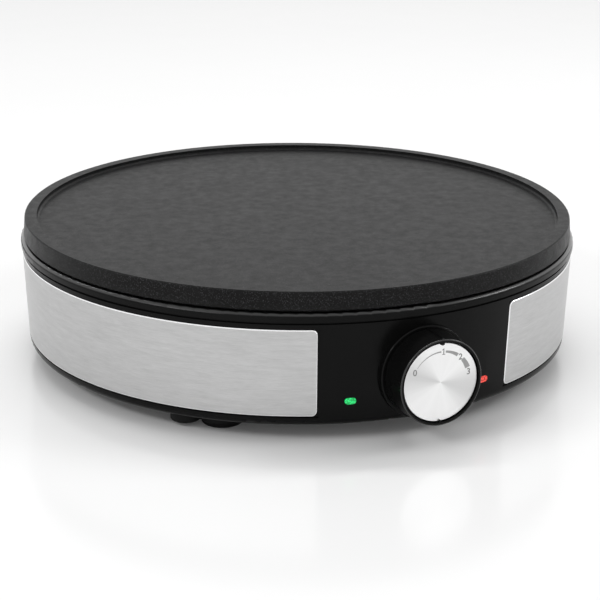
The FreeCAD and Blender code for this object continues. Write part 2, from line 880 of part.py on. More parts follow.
def make_trim_panel(label, half_turn):
    """One brushed sheet, bent to the housing's taper, with rounded corners and a bright bevel."""
    body = new_body(label)
    low = panel_low
    high = panel_high
    proud = size["panel_proud"]
    sheet_back = proud - size["panel_sheet"]
    profile = new_sketch(body, "PanelProfile", "XZ_Plane")
    draw_outline(
        profile,
        [
            (wall_reach(low) + sheet_back, low),
            (wall_reach(low) + proud, low),
            (wall_reach(high) + proud, high),
            (wall_reach(high) + sheet_back, high),
        ],
    )
    turn(body, profile, "Sweep", 180 - 2 * size["control_half_angle"])

    def corner_edge(edge):
        ends = [vertex.Point for vertex in edge.Vertexes]
        if len(ends) != 2 or edge.Length > 2 * SIZES["panel_sheet"]:
            return False
        return abs(ends[0].z - ends[1].z) < SIZES["panel_sheet"] / 4

    round_off(body, size["panel_corner"], corner_edge, "Corners")
    middle_reach = wall_reach(low).value - SIZES["panel_sheet"] / 2 + SIZES["panel_proud"]

    def outer_edge(edge):
        """The edges of the outer face: those that lie wholly outside the sheet's middle."""
        points = [edge.valueAt(edge.FirstParameter), edge.valueAt(edge.LastParameter)]
        points.append(edge.valueAt((edge.FirstParameter + edge.LastParameter) / 2))
        reaches = [
            math.hypot(point.x, point.y) - wall_rise.value * (point.z - low.value)
            for point in points
        ]
        return min(reaches) > middle_reach

    bevel(body, size["panel_bevel"], outer_edge, "BrightBevel")
    bind(body, "Placement.Rotation.Angle", half_turn)
    body.Placement = FreeCAD.Placement(
        FreeCAD.Vector(0, 0, 0), FreeCAD.Rotation(FreeCAD.Vector(0, 0, 1), half_turn)
    )


def make_base_cover():
    """The bottom cover: posts for the plate, vents, and four pedestals for feet and screws."""
    body = new_body("base_cover")
    disc = new_sketch(body, "Disc", "XY_Plane", cover_low)
    draw_circle(disc, cover_radius)
    pad(body, disc, size["cover_sheet"], "DiscPad")

    height = cover_low - size["pedestal_low"]
    for corner in CORNERS:
        foot_x, foot_y = foot_point(corner)
        screw_x, screw_y = base_screw_point(corner)
        for end, (across, up) in (("Foot", (foot_x, foot_y)), ("Screw", (screw_x, screw_y))):
            lobe = new_sketch(body, f"{end}Lobe_{corner}", "XY_Plane", size["pedestal_low"])
            radius = size["pedestal_radius"]
            if end == "Screw":
                radius = size["pedestal_screw_radius"]
            draw_circle(lobe, radius, across, up)
            pad(body, lobe, height + size["overlap"], f"{end}LobePad_{corner}")
    round_off(body, size["pedestal_round"], pedestal_edge, "PedestalRound")
    posts = new_sketch(body, "Posts", "XY_Plane", cover_low)
    for across, up in post_points():
        draw_circle(posts, size["post_radius"], across, up)
    pad(body, posts, shield_height - cover_low, "PostPad")

    bores = new_sketch(body, "PostBores", "XY_Plane", cover_low)
    seats = new_sketch(body, "ScrewSeats", "XY_Plane", cover_low)
    for across, up in post_points():
        draw_circle(bores, post_hole_radius, across, up)
        draw_circle(seats, size["plate_screw_head"] + size["screw_clearance"], across, up)
    cut(body, bores, shield_height - cover_low, "BoreCut")
    cut(body, seats, screw_seat - cover_low, "SeatCut")

    low = size["pedestal_low"]
    sockets = new_sketch(body, "FootSockets", "XY_Plane", low)
    stems = new_sketch(body, "StemHoles", "XY_Plane", low)
    screws = new_sketch(body, "BaseScrewHoles", "XY_Plane", low)
    heads = new_sketch(body, "BaseScrewSeats", "XY_Plane", low)
    for corner in CORNERS:
        foot = foot_point(corner)
        screw = base_screw_point(corner)
        draw_circle(sockets, size["foot_radius"] + size["foot_gap"], *foot)
        draw_circle(stems, size["foot_stem_radius"] + size["foot_gap"], *foot)
        draw_circle(screws, size["base_screw_radius"] + size["screw_clearance"], *screw)
        draw_circle(heads, size["base_screw_head"] + size["screw_clearance"], *screw)
    cut(body, sockets, size["foot_socket"], "SocketCut")
    cut(body, stems, size["foot_socket"] + size["foot_stem_length"] + size["foot_gap"], "StemCut")
    cut(body, screws, cover_top - low, "ScrewCut")
    cut(body, heads, cover_low - low, "HeadCut")

    vent = new_sketch(body, "Vent", "XY_Plane", cover_low)
    length = vent_outer - size["vent_inner"]
    draw_box(vent, length, size["vent_width"], size["vent_inner"] + length / 2)
    vent_cut = cut(body, vent, size["cover_sheet"], "VentCut")
    repeat_round(body, [vent_cut], 16, False, "VentRing")


def pedestal_edge(edge):
    """The arcs round the bottom of the pedestals."""
    low = size["pedestal_low"].value
    points = [edge.valueAt(edge.FirstParameter), edge.valueAt(edge.LastParameter)]
    return max(abs(point.z - low) for point in points) < 0.01


def make_foot(corner):
    """A rubber foot with a stem that presses into the pedestal."""
    body = new_body(f"foot_{corner}")
    top = size["pedestal_low"] + size["foot_socket"]
    disc = new_sketch(body, "Pad", "XY_Plane")
    draw_circle(disc, size["foot_radius"])
    pad(body, disc, top, "PadDisc")
    stem = new_sketch(body, "Stem", "XY_Plane", top)
    draw_circle(stem, size["foot_stem_radius"])
    pad(body, stem, size["foot_stem_length"], "StemPad")
    round_off(body, size["foot_round"], ring_at(size["foot_radius"], 0.0), "LowRound")
    across, up = foot_point(corner)
    bind(body, "Placement.Base.x", across)
    drawn_back[body.Label] = up


def make_base_screws():
    body = new_body("base_screws")
    head_height = size["base_screw_head_height"]
    heads = new_sketch(body, "Heads", "XY_Plane", cover_low - head_height)
    shanks = new_sketch(body, "Shanks", "XY_Plane", cover_low)
    for corner in CORNERS:
        draw_circle(heads, size["base_screw_head"], *base_screw_point(corner))
        draw_circle(shanks, size["base_screw_radius"], *base_screw_point(corner))
    pad(body, heads, head_height, "HeadPad")
    pad(body, shanks, size["base_screw_length"], "ShankPad")


def knob_place(body, reach):
    face_forward(body, reach, knob_height)


web_front = knob_face_reach - size["knob_web_setback"]
web_back = web_front - size["knob_web"]
skirt_back = collar_reach + size["knob_collar_gap"]
dial_face = knob_face_reach - size["dial_recess"]
dial_back = dial_face - size["dial_sheet"]
backing_back = dial_back - size["dial_backing"]
knob_bore = knob_front_radius - size["knob_wall"]
dial_radius = knob_bore - size["dial_gap"]


def make_knob_ring():
    """The turning grip: a cup with a pointer, whose web has a hub and two long arc slots.

    It is drawn from the height where its skirt starts, with its own axis along Z.
    """
    body = new_body("knob_ring")
    start = skirt_back
    depth = knob_face_reach - start
    profile = new_sketch(body, "CupProfile", "XZ_Plane")
    draw_outline(
        profile,
        [
            (0, web_back - start),
            (knob_bore, web_back - start),
            (knob_bore, 0),
            (knob_back_radius, 0),
            (knob_front_radius, depth),
            (knob_bore, depth),
            (knob_bore, web_front - start),
            (0, web_front - start),
        ],
    )
    turn(body, profile, "Cup")
    round_off(body, size["knob_round"], ring_at(knob_front_radius, depth), "FaceRound")

    hub = new_sketch(body, "Hub", "XY_Plane", hub_reach - start)
    draw_circle(hub, size["hub_radius"])
    pad(body, hub, web_back - hub_reach + size["overlap"], "HubPad")
    bore = new_sketch(body, "SpindleBore", "XY_Plane", hub_reach - start)
    draw_circle(bore, size["spindle_radius"] + size["spindle_fit"])
    cut(body, bore, web_back - hub_reach, "BoreCut")

    pitch = dial_post_pitch
    half = size["dial_post_radius"] + size["dial_slot_gap"]
    slot = new_sketch(body, "SlotSection", "XZ_Plane")
    draw_outline(
        slot,
        [
            (pitch - half, web_back - start),
            (pitch + half, web_back - start),
            (pitch + half, web_front - start),
            (pitch - half, web_front - start),
        ],
    )
    slot_cut = turn_out(body, slot, "SlotCut", slot_span())
    repeat_round(body, [slot_cut], 2, False, "SlotPair")

    thickness = size["tooth_thickness"]
    tooth = new_sketch(body, "PointerTooth", "XY_Plane", depth - thickness)
    half_width = size["pointer_width"] / 2
    tip = knob_bore - size["tooth_depth"]
    draw_outline(
        tooth,
        [
            (-half_width, tip + size["tooth_point"]),
            (0, tip),
            (half_width, tip + size["tooth_point"]),
            (half_width, knob_bore + size["knob_wall"] / 2),
            (-half_width, knob_bore + size["knob_wall"] / 2),
        ],
    )
    pad(body, tooth, thickness, "ToothPad")
    mark = new_sketch(body, "LowTooth", "XY_Plane", depth - thickness)
    draw_outline(
        mark,
        [
            (half_width, -(knob_bore + size["knob_wall"] / 2)),
            (0, -tip),
            (-(half_width), -(knob_bore + size["knob_wall"] / 2)),
        ],
    )
    pad(body, mark, thickness, "LowToothPad")
    ridge = new_sketch(body, "PointerRidge", "XY_Plane")
    crest = knob_back_radius + size["pointer_rise"]
    draw_outline(
        ridge,
        [
            (-half_width, knob_front_radius - size["knob_wall"] / 2),
            (half_width, knob_front_radius - size["knob_wall"] / 2),
            (0, crest),
        ],
    )
    pad(body, ridge, depth, "RidgePad")
    knob_place(body, start)


def slot_span():
    """The arc that clears a dial post over the knob's whole turn, to both sides alike."""
    reach = size["dial_post_radius"] + size["dial_slot_gap"]
    post_half = 180 / math.pi * reach / dial_post_pitch
    return 2 * (size["knob_turn_to_high"] + size["knob_turn_spare"] + post_half)


def make_dial_carrier():
    """A fixed ring in the collar's pocket with two posts that reach through the knob's slots."""
    body = new_body("dial_carrier")
    base = new_sketch(body, "Base", "XY_Plane")
    draw_circle(base, dial_base_outer)
    draw_circle(base, size["dial_base_inner"])
    pad(body, base, size["dial_base_sheet"], "BasePad")
    posts = new_sketch(body, "DialPosts", "XY_Plane")
    for side in (-1, 1):
        draw_circle(posts, size["dial_post_radius"], side * dial_post_pitch)
    pad(body, posts, backing_back + size["dial_post_overlap"] - collar_floor, "PostPad")
    knob_place(body, collar_floor)


def make_dial_backing():
    """The moulded disc that is pressed on the two posts and carries the dial."""
    body = new_body("dial_backing")
    disc = new_sketch(body, "Disc", "XY_Plane")
    draw_circle(disc, dial_radius - size["dial_backing_gap"])
    pad(body, disc, size["dial_backing"], "DiscPad")
    sockets = new_sketch(body, "PostSockets", "XY_Plane")
    for side in (-1, 1):
        radius = size["dial_post_radius"] + size["spindle_fit"]
        draw_circle(sockets, radius, side * dial_post_pitch)
    cut(body, sockets, size["dial_post_overlap"] + size["spindle_fit"], "SocketCut")
    knob_place(body, backing_back)


def make_dial_disc():
    """The spun metal face of the dial."""
    body = new_body("dial_disc")
    disc = new_sketch(body, "Disc", "XY_Plane")
    draw_circle(disc, dial_radius)
    pad(body, disc, size["dial_sheet"], "DiscPad")
    bevel(body, size["dial_sheet"] / 2, ring_at(dial_radius, size["dial_sheet"]), "EdgeBevel")
    knob_place(body, dial_back)


thermostat_front = collar_back - size["bracket_sheet"]
thermostat_back = thermostat_front - size["thermostat_deep"]
spindle_start = thermostat_front - size["thermostat_bore"] + size["spindle_gap"]
spindle_end = web_back - size["spindle_fit"]


def make_thermostat_spindle():
    """The regulator's spindle, with a flat where the knob grips it."""
    body = new_body("thermostat_spindle")
    rod = new_sketch(body, "Rod", "XY_Plane")
    draw_circle(rod, size["spindle_radius"])
    pad(body, rod, spindle_end - spindle_start, "RodPad")
    flat = new_sketch(body, "Flat", "XY_Plane", hub_reach - spindle_start)
    width = 2 * (size["spindle_radius"] + size["spindle_gap"])
    rise = size["spindle_radius"]
    draw_box(flat, width, rise, 0, size["spindle_flat"] + rise / 2)
    cut(body, flat, spindle_end - hub_reach, "FlatCut")
    knob_place(body, spindle_start)


def make_knob_clip():
    """A leaf spring between the spindle's flat and the knob's bore."""
    body = new_body("knob_clip")
    leaf = new_sketch(body, "Leaf", "XY_Plane")
    height = size["spindle_flat"] + size["spindle_fit"] + size["clip_sheet"] / 2
    draw_box(leaf, size["clip_width"], size["clip_sheet"], 0, height)
    pad(body, leaf, web_back - hub_reach - 2 * size["spindle_fit"])
    knob_place(body, hub_reach)


def make_thermostat_bracket():
    """The steel plate that clamps the regulator to the back of the collar."""
    body = new_body("thermostat_bracket")
    plate = new_sketch(body, "Plate", "XY_Plane")
    draw_slot(plate, bracket_width, size["bracket_height"])
    pad(body, plate, size["bracket_sheet"], "PlatePad")
    holes = new_sketch(body, "Holes", "XY_Plane")
    draw_circle(holes, size["spindle_radius"] + size["spindle_gap"])
    for side in (-1, 1):
        radius = size["bracket_screw_radius"] + size["screw_clearance"]
        draw_circle(holes, radius, side * bracket_screw_pitch)
    cut(body, holes, size["bracket_sheet"], "HoleCut")
    knob_place(body, thermostat_front)


def make_bracket_screws():
    body = new_body("bracket_screws")
    heads = new_sketch(body, "Heads", "XY_Plane")
    shanks = new_sketch(body, "Shanks", "XY_Plane", size["bracket_screw_radius"])
    for side in (-1, 1):
        draw_circle(heads, size["bracket_screw_head"], side * bracket_screw_pitch)
        draw_circle(shanks, size["bracket_screw_radius"], side * bracket_screw_pitch)
    pad(body, heads, size["bracket_screw_radius"], "HeadPad")
    pad(body, shanks, size["bracket_sheet"] + size["bracket_screw_grip"], "ShankPad")
    knob_place(body, thermostat_front - size["bracket_screw_radius"])


def make_thermostat_body():
    """The regulator's case with a bore for the spindle and two blades for the leads."""
    body = new_body("thermostat_body")
    case = new_sketch(body, "Case", "XY_Plane")
    draw_box(case, size["thermostat_width"], size["thermostat_tall"])
    pad(body, case, size["thermostat_deep"], "CasePad")

    def long_edge(edge):
        return abs(edge.Length - size["thermostat_deep"].value) < 0.01

    round_off(body, size["thermostat_corner"], long_edge, "CaseCorners")
    bore_start = size["thermostat_deep"] - size["thermostat_bore"]
    bore = new_sketch(body, "Bore", "XY_Plane", bore_start)
    draw_circle(bore, size["spindle_radius"] + size["spindle_fit"])
    cut(body, bore, size["thermostat_bore"], "BoreCut")
    for head, across in enumerate((-size["thermostat_width"] / 4, size["thermostat_width"] / 4)):
        relief = new_sketch(body, f"BladeSketch{head}", "XY_Plane", -size["blade_length"])
        draw_box(relief, size["blade_sheet"], size["blade_width"], across)
        pad(body, relief, size["blade_length"], f"Blade{head}")
    knob_place(body, thermostat_back)


def make_lens(label, angle):
    """A stadium lens with a flange behind the housing's wall."""
    body = new_body(label)
    flange_back = wall_reach(lens_height) - size["housing_wall"] - size["lens_flange_sheet"]
    flange_back = flange_back - size["lens_flange_gap"]
    flange = radial_sketch(body, "Flange", angle, flange_back, lens_height)
    wide = 2 * size["lens_flange"]
    draw_slot(flange, size["lens_long"] + wide, size["lens_tall"] + wide)
    pad(body, flange, size["lens_flange_sheet"], "FlangePad")
    window = radial_sketch(body, "Window", angle, flange_back, lens_height)
    draw_slot(window, size["lens_long"], size["lens_tall"])
    pad(body, window, lens_reach - flange_back, "WindowPad")
    return flange_back


def make_lamp(label, angle, lens_back):
    """The neon lamp behind one lens."""
    body = new_body(label)
    start = lens_back - size["lamp_length"] - size["lens_gap"]
    tube = radial_sketch(body, "Tube", angle, start, lens_height)
    draw_circle(tube, size["lamp_radius"])
    pad(body, tube, size["lamp_length"])


def make_lamp_sleeves(lens_back):
    """The two sleeves that hold the lamps against their lenses."""
    body = new_body("lamp_sleeves")
    start = lens_back - size["lamp_length"]
    for name, angle in (("Green", -size["lens_angle"]), ("Red", size["lens_angle"])):
        wall = radial_sketch(body, name, angle, start, lens_height)
        inner = size["lamp_radius"] + size["lens_gap"]
        draw_circle(wall, inner + size["lamp_sleeve_wall"])
        draw_circle(wall, inner)
        pad(body, wall, size["lamp_length"], name + "Pad")


def make_cord_inlet():
    """The bush that leads the mains cord through the rear wall."""
    body = new_body("cord_inlet")
    flange_top = inlet_height + size["inlet_flange_radius"]
    flange_start = wall_reach(flange_top) + size["thread_clearance"]
    wall_inside = wall_reach(inlet_height) - size["housing_wall"]
    inner_end = wall_inside - size["inlet_inner_setback"]
    start = inner_end - size["inlet_inner_sheet"]
    end = flange_start + size["inlet_flange_sheet"]
    profile = new_sketch(body, "BushProfile", "XZ_Plane")
    draw_outline(
        profile,
        [
            (size["inlet_bore"], 0),
            (size["inlet_inner_radius"], 0),
            (size["inlet_inner_radius"], inner_end - start),
            (size["inlet_neck_radius"], inner_end - start),
            (size["inlet_neck_radius"], flange_start - start),
            (size["inlet_flange_radius"], flange_start - start),
            (size["inlet_flange_radius"] - size["inlet_flange_bevel"], end - start),
            (size["inlet_bore"], end - start),
        ],
    )
    turn(body, profile, "Bush")
    face_forward(body, start, inlet_height, -90)


def make_terminal_block():
    """The screw block where the mains leads join, on the base near the inlet."""
    body = new_body("terminal_block")
    block = new_sketch(body, "Block", "XY_Plane", cover_top)
    draw_box(block, size["terminal_long"], size["terminal_deep"], 0, terminal_reach)
    pad(body, block, size["terminal_tall"], "BlockPad")
    wells = new_sketch(body, "Wells", "XY_Plane", cover_top + size["terminal_tall"] / 2)
    for place in (-1, 0, 1):
        across = place * size["terminal_spacing"]
        draw_circle(wells, size["terminal_hole"], across, terminal_reach)
    cut(body, wells, size["terminal_tall"] / 2, "WellCut")


def make_thermostat_bulb():
    """The sensing bulb that lies under the plate."""
    body = new_body("thermostat_bulb")
    section = new_sketch(body, "Section", "YZ_Plane", -size["bulb_length"] / 2)
    height = plate_underside - size["bulb_radius"] - size["heater_gap"]
    draw_circle(section, size["bulb_radius"], -size["bulb_reach"], height)
    pad(body, section, size["bulb_length"])


def make_thermal_fuse():
    """The one-shot fuse held against the plate's underside."""
    body = new_body("thermal_fuse")
    section = new_sketch(body, "Section", "YZ_Plane", -size["fuse_length"] / 2)
    height = plate_underside - size["fuse_radius"] - size["heater_gap"]
    draw_circle(section, size["fuse_radius"], size["fuse_reach"], height)
    pad(body, section, size["fuse_length"])


def clamp_foot_middle(radius):
    """How far a clamp's screw stands from the middle of the rod that it holds."""
    return radius + size["clamp_gap"] + size["clamp_sheet"] + size["clamp_foot"] / 2


def make_sensor_clamp(label, back, radius):
    """A bent strip, screwed under the plate at both ends, that holds a rod against it."""
    body = new_body(label)
    strip = new_sketch(body, "Strip", "YZ_Plane", -size["clamp_width"] / 2)
    top = plate_underside
    sheet = size["clamp_sheet"]
    inner = radius + size["clamp_gap"]
    outer = inner + sheet
    end = outer + size["clamp_foot"]
    inner_low = top - size["heater_gap"] - 2 * radius - size["clamp_gap"]
    draw_outline(
        strip,
        [
            (back - end, top),
            (back - end, top - sheet),
            (back - outer, top - sheet),
            (back - outer, inner_low - sheet),
            (back + outer, inner_low - sheet),
            (back + outer, top - sheet),
            (back + end, top - sheet),
            (back + end, top),
            (back + inner, top),
            (back + inner, inner_low),
            (back - inner, inner_low),
            (back - inner, top),
        ],
    )
    pad(body, strip, size["clamp_width"], "StripPad")
    holes = new_sketch(body, "Holes", "XY_Plane", top - sheet)
    for side in (-1, 1):
        hole_radius = size["clamp_screw_radius"] + size["screw_clearance"]
        draw_circle(holes, hole_radius, 0, back + side * clamp_foot_middle(radius))
    cut(body, holes, sheet, "HoleCut")


def clamp_screw_points():
    points = []
    for back, radius in (
        (-size["bulb_reach"], size["bulb_radius"]),
        (size["fuse_reach"], size["fuse_radius"]),
    ):
        for side in (-1, 1):
            points.append((0, back + side * clamp_foot_middle(radius)))
    return points


def make_clamp_screws():
    """The four small screws that hold the two clamps under the plate."""
    body = new_body("clamp_screws")
    head_top = plate_underside - size["clamp_sheet"]
    heads = new_sketch(body, "Heads", "XY_Plane", head_top - size["clamp_screw_head_height"])
    shanks = new_sketch(body, "Shanks", "XY_Plane", head_top)
    for across, up in clamp_screw_points():
        draw_circle(heads, size["clamp_screw_head"], across, up)
        draw_circle(shanks, size["clamp_screw_radius"], across, up)
    pad(body, heads, size["clamp_screw_head_height"], "HeadPad")
    pad(body, shanks, size["clamp_sheet"] + size["clamp_screw_grip"], "ShankPad")


make_cooking_plate()
make_heating_element()
make_heater_seals()
make_heater_pins()
make_heat_shield()
make_plate_spacers()
make_plate_screws()
make_housing_shell()
make_trim_panel("right_trim_panel", 0)
make_trim_panel("left_trim_panel", 180)
make_base_cover()
for corner_name in CORNERS:
    make_foot(corner_name)
make_base_screws()
make_knob_ring()
make_dial_carrier()
make_dial_backing()
make_dial_disc()
make_thermostat_spindle()
make_knob_clip()
make_thermostat_bracket()
make_bracket_screws()
make_thermostat_body()
green_back = make_lens("green_lens", -size["lens_angle"])
red_back = make_lens("red_lens", size["lens_angle"])
make_lamp("green_lamp", -size["lens_angle"], green_back)
make_lamp("red_lamp", size["lens_angle"], red_back)
make_lamp_sleeves(green_back)
make_cord_inlet()
make_terminal_block()
make_thermostat_bulb()
make_thermal_fuse()
make_sensor_clamp("bulb_clamp", -size["bulb_reach"], size["bulb_radius"])
make_sensor_clamp("fuse_clamp", size["fuse_reach"], size["fuse_radius"])
make_clamp_screws()
for piece in pieces:
    bind(piece, "Placement.Base.y", setback + drawn_back.get(piece.Label, 0.0))
doc.recompute()

faults = []
for item in doc.Objects:
    if "Invalid" in item.State or "Error" in item.State:
        faults.append(f"{item.Label} in {item.FullName}: {item.State}")
for piece in pieces:
    if piece.Shape.isNull() or not piece.Shape.isValid():
        faults.append(f"{piece.Label} has no valid shape")
if faults:
    raise ValueError("; ".join(faults))

os.makedirs("parts", exist_ok=True)
for piece in pieces:
    piece.Shape.exportStep(f"parts/{piece.Label}.step")
print(f"{len(pieces)} sub-parts written")
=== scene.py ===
import json
import math

import bpy
from mathutils import Matrix, Vector


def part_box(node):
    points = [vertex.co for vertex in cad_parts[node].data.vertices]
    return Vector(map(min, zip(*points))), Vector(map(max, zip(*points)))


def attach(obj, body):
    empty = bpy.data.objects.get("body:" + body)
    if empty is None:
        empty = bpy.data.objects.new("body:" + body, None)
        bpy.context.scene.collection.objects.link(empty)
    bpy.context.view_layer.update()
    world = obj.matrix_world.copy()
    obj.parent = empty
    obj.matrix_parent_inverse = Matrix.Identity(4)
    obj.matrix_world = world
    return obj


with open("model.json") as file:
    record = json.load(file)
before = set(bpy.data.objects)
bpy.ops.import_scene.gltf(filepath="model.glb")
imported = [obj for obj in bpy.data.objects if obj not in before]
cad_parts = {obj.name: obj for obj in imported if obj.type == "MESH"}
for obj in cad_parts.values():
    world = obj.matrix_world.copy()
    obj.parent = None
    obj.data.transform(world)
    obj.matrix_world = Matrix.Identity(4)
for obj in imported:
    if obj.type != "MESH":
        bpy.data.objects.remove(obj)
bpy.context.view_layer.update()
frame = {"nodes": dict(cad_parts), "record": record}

MM = 0.001

# Where things are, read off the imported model
DIAL_LOW, DIAL_HIGH = (Vector(corner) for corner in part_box("dial_disc"))
DIAL_CENTRE = (DIAL_LOW + DIAL_HIGH) / 2
DIAL_FACE_Y = DIAL_LOW.y
DIAL_RADIUS = (DIAL_HIGH.x - DIAL_LOW.x) / 2
TRIM_LOW, TRIM_HIGH = (Vector(corner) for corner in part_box("right_trim_panel"))
TRIM_MIDDLE_Z = (TRIM_LOW.z + TRIM_HIGH.z) / 2
TRIM_HALF_TALL = (TRIM_HIGH.z - TRIM_LOW.z) / 2
# The round plate's axis stands behind the origin by half of what the knob reaches past the lip
AXIS_Y = (TRIM_LOW.y + TRIM_HIGH.y) / 2
LIP_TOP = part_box("housing_shell")[1][2]
GRIP_LOW, GRIP_HIGH = (Vector(corner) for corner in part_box("knob_ring"))
GRIP_RADIUS = (GRIP_HIGH.x - GRIP_LOW.x) / 2
GRIP_FRONT_Y = GRIP_LOW.y

# The trim panels' bend, half their length along it, and their rounded corners
TRIM_RADIUS = 159.0 * MM
TRIM_HALF_ARC = math.radians(69.35) * TRIM_RADIUS
TRIM_CORNER = 3.0 * MM


class Graph:
    """A material's node tree with short calls to add nodes and links."""

    def __init__(self, name):
        self.material = bpy.data.materials.new(name)
        self.material.use_nodes = True
        self.tree = self.material.node_tree
        self.shader = self.tree.nodes["Principled BSDF"]

    def node(self, kind, **settings):
        made = self.tree.nodes.new(kind)
        for key, value in settings.items():
            setattr(made, key, value)
        return made

    def link(self, source, target):
        self.tree.links.new(source, target)

    def feed(self, socket, value):
        """Put a plain number or another node's output into a socket."""
        if isinstance(value, bpy.types.NodeSocket):
            self.link(value, socket)
        else:
            socket.default_value = value

    def set(self, **values):
        """Plain values straight on the shader's own sockets."""
        for key, value in values.items():
            self.shader.inputs[key.replace("_", " ")].default_value = value

    def math(self, operation, first, second=0.0):
        made = self.node("ShaderNodeMath", operation=operation)
        for socket, value in zip(made.inputs, (first, second)):
            self.feed(socket, value)
        return made.outputs[0]

    def length(self, first, second):
        """The length of a flat vector with these two parts."""
        squares = [self.math("MULTIPLY", part, part) for part in (first, second)]
        return self.math("SQRT", self.math("ADD", *squares))

    def position(self):
        """The point in the object's own frame, as three separate lengths in metres."""
        where = self.node("ShaderNodeTexCoord").outputs["Object"]
        split = self.node("ShaderNodeSeparateXYZ")
        self.link(where, split.inputs[0])
        return where, split.outputs

    def stretched(self, where, scale):
        mapping = self.node("ShaderNodeMapping")
        self.link(where, mapping.inputs["Vector"])
        mapping.inputs["Scale"].default_value = scale
        return mapping.outputs[0]

    def noise(self, where, scale, detail=4.0, roughness=0.55):
        made = self.node("ShaderNodeTexNoise")
        self.link(where, made.inputs["Vector"])
        made.inputs["Scale"].default_value = scale
        made.inputs["Detail"].default_value = detail
        made.inputs["Roughness"].default_value = roughness
        return made.outputs["Fac"]

    def cells(self, where, scale):
        """Distance to the nearest of many scattered points."""
        made = self.node("ShaderNodeTexVoronoi", feature="F1")
        self.link(where, made.inputs["Vector"])
        made.inputs["Scale"].default_value = scale
        return made.outputs["Distance"]

    def blend(self, share, first, second):
        """One colour output that goes over into a plain colour."""
        made = self.node("ShaderNodeMix", data_type="RGBA")
        self.link(share, made.inputs["Factor"])
        self.link(first, made.inputs["A"])
        made.inputs["B"].default_value = (*second, 1.0)
        return made.outputs["Result"]

    def from_dial(self, across, up):
        """How far a point lies to the right of the dial's axis and above it."""
        aside = self.math("SUBTRACT", across, DIAL_CENTRE.x)
        above = self.math("SUBTRACT", up, DIAL_CENTRE.z)
        return aside, above

    def combine(self, across, along, up):
        made = self.node("ShaderNodeCombineXYZ")
        for socket, value in zip(made.inputs, (across, along, up)):
            self.feed(socket, value)
        return made.outputs[0]

    def ramp(self, factor, *stops):
        """A colour ramp through stops of (place, colour)."""
        made = self.node("ShaderNodeValToRGB")
        self.link(factor, made.inputs[0])
        points = made.color_ramp.elements
        while len(points) < len(stops):
            points.new(0.5)
        for point, (place, colour) in zip(points, stops):
            point.position = place
            point.color = (*colour, 1.0)
        return made.outputs[0]

    def span(self, factor, low, high, start=0.0, stop=1.0):
        """Map one range of a number onto another."""
        made = self.node("ShaderNodeMapRange")
        for socket, value in zip(made.inputs, (factor, start, stop, low, high)):
            self.feed(socket, value)
        return made.outputs[0]

    def bump(self, height, distance, strength):
        made = self.node("ShaderNodeBump")
        made.inputs["Strength"].default_value = strength
        made.inputs["Distance"].default_value = distance
        self.link(height, made.inputs["Height"])
        self.link(made.outputs[0], self.shader.inputs["Normal"])

    def colour(self, output):
        self.link(output, self.shader.inputs["Base Color"])

    def rough(self, output):
        self.link(output, self.shader.inputs["Roughness"])


def grey(level):
    return (level, level, level)


def moulded_plastic(name, dark, light, rough_low, rough_high, grain, depth, shine):
    """Injection-moulded plastic: faint colour drift, a fine grain and a patchy gloss."""
    graph = Graph(name)
    where, _ = graph.position()
    drift = graph.noise(where, 14.0, 3.0)
    graph.colour(graph.ramp(drift, (0.35, dark), (0.7, light)))
    fine = graph.noise(where, grain, 3.0)
    graph.rough(graph.span(graph.noise(where, 60.0, 4.0), rough_low, rough_high, 0.3, 0.7))
    graph.set(Specular_IOR_Level=shine)
    graph.bump(fine, depth, 0.35)
    return graph


def make_housing_plastic():
    """The housing's black plastic, glossier on the crown of its rounded lip."""
    graph = moulded_plastic(
        "black_plastic", grey(0.0030), grey(0.0048), 0.18, 0.24, 2600.0, 0.00003, 0.09
    )
    _, (_, _, up) = graph.position()
    crown = graph.span(up, 0.0, 1.0, LIP_TOP - 1.35 * MM, LIP_TOP - 0.85 * MM)
    graph.link(crown, graph.shader.inputs["Coat Weight"])
    graph.set(Coat_Roughness=0.3)
    return graph.material


def make_knob_plastic():
    """The grip's black plastic, glossier on the outer edge of its mouth."""
    graph = moulded_plastic(
        "knob_plastic", grey(0.0030), grey(0.0048), 0.24, 0.32, 3000.0, 0.00003, 0.09
    )
    _, (across, along, up) = graph.position()
    radius = graph.length(*graph.from_dial(across, up))
    outer = graph.span(radius, 0.0, 1.0, GRIP_RADIUS - 1.1 * MM, GRIP_RADIUS - 0.8 * MM)
    mouth = graph.span(along, 1.0, 0.0, GRIP_FRONT_Y + 0.7 * MM, GRIP_FRONT_Y + 1.0 * MM)
    graph.link(graph.math("MULTIPLY", outer, mouth), graph.shader.inputs["Coat Weight"])
    graph.set(Coat_Roughness=0.25)
    return graph.material


def make_plate_coating():
    """Dark non-stick coating with a mineral speckle and a slightly pebbled surface."""
    graph = Graph("plate_coating")
    where, _ = graph.position()
    drift = graph.noise(where, 22.0, 4.0)
    base = graph.ramp(drift, (0.3, grey(0.005)), (0.75, grey(0.008)))
    fleck = graph.ramp(graph.cells(where, 1900.0), (0.12, grey(1.0)), (0.36, grey(0.0)))
    chosen = graph.ramp(graph.noise(where, 1100.0, 2.0), (0.42, grey(0.0)), (0.58, grey(1.0)))
    amount = graph.math("MULTIPLY", fleck, chosen)
    graph.colour(graph.blend(amount, base, (0.10, 0.10, 0.105)))
    graph.rough(graph.span(graph.noise(where, 180.0, 3.0), 0.36, 0.46, 0.3, 0.7))
    graph.set(Specular_IOR_Level=0.11)
    graph.bump(graph.noise(where, 1300.0, 2.0), 0.00008, 0.3)
    return graph.material


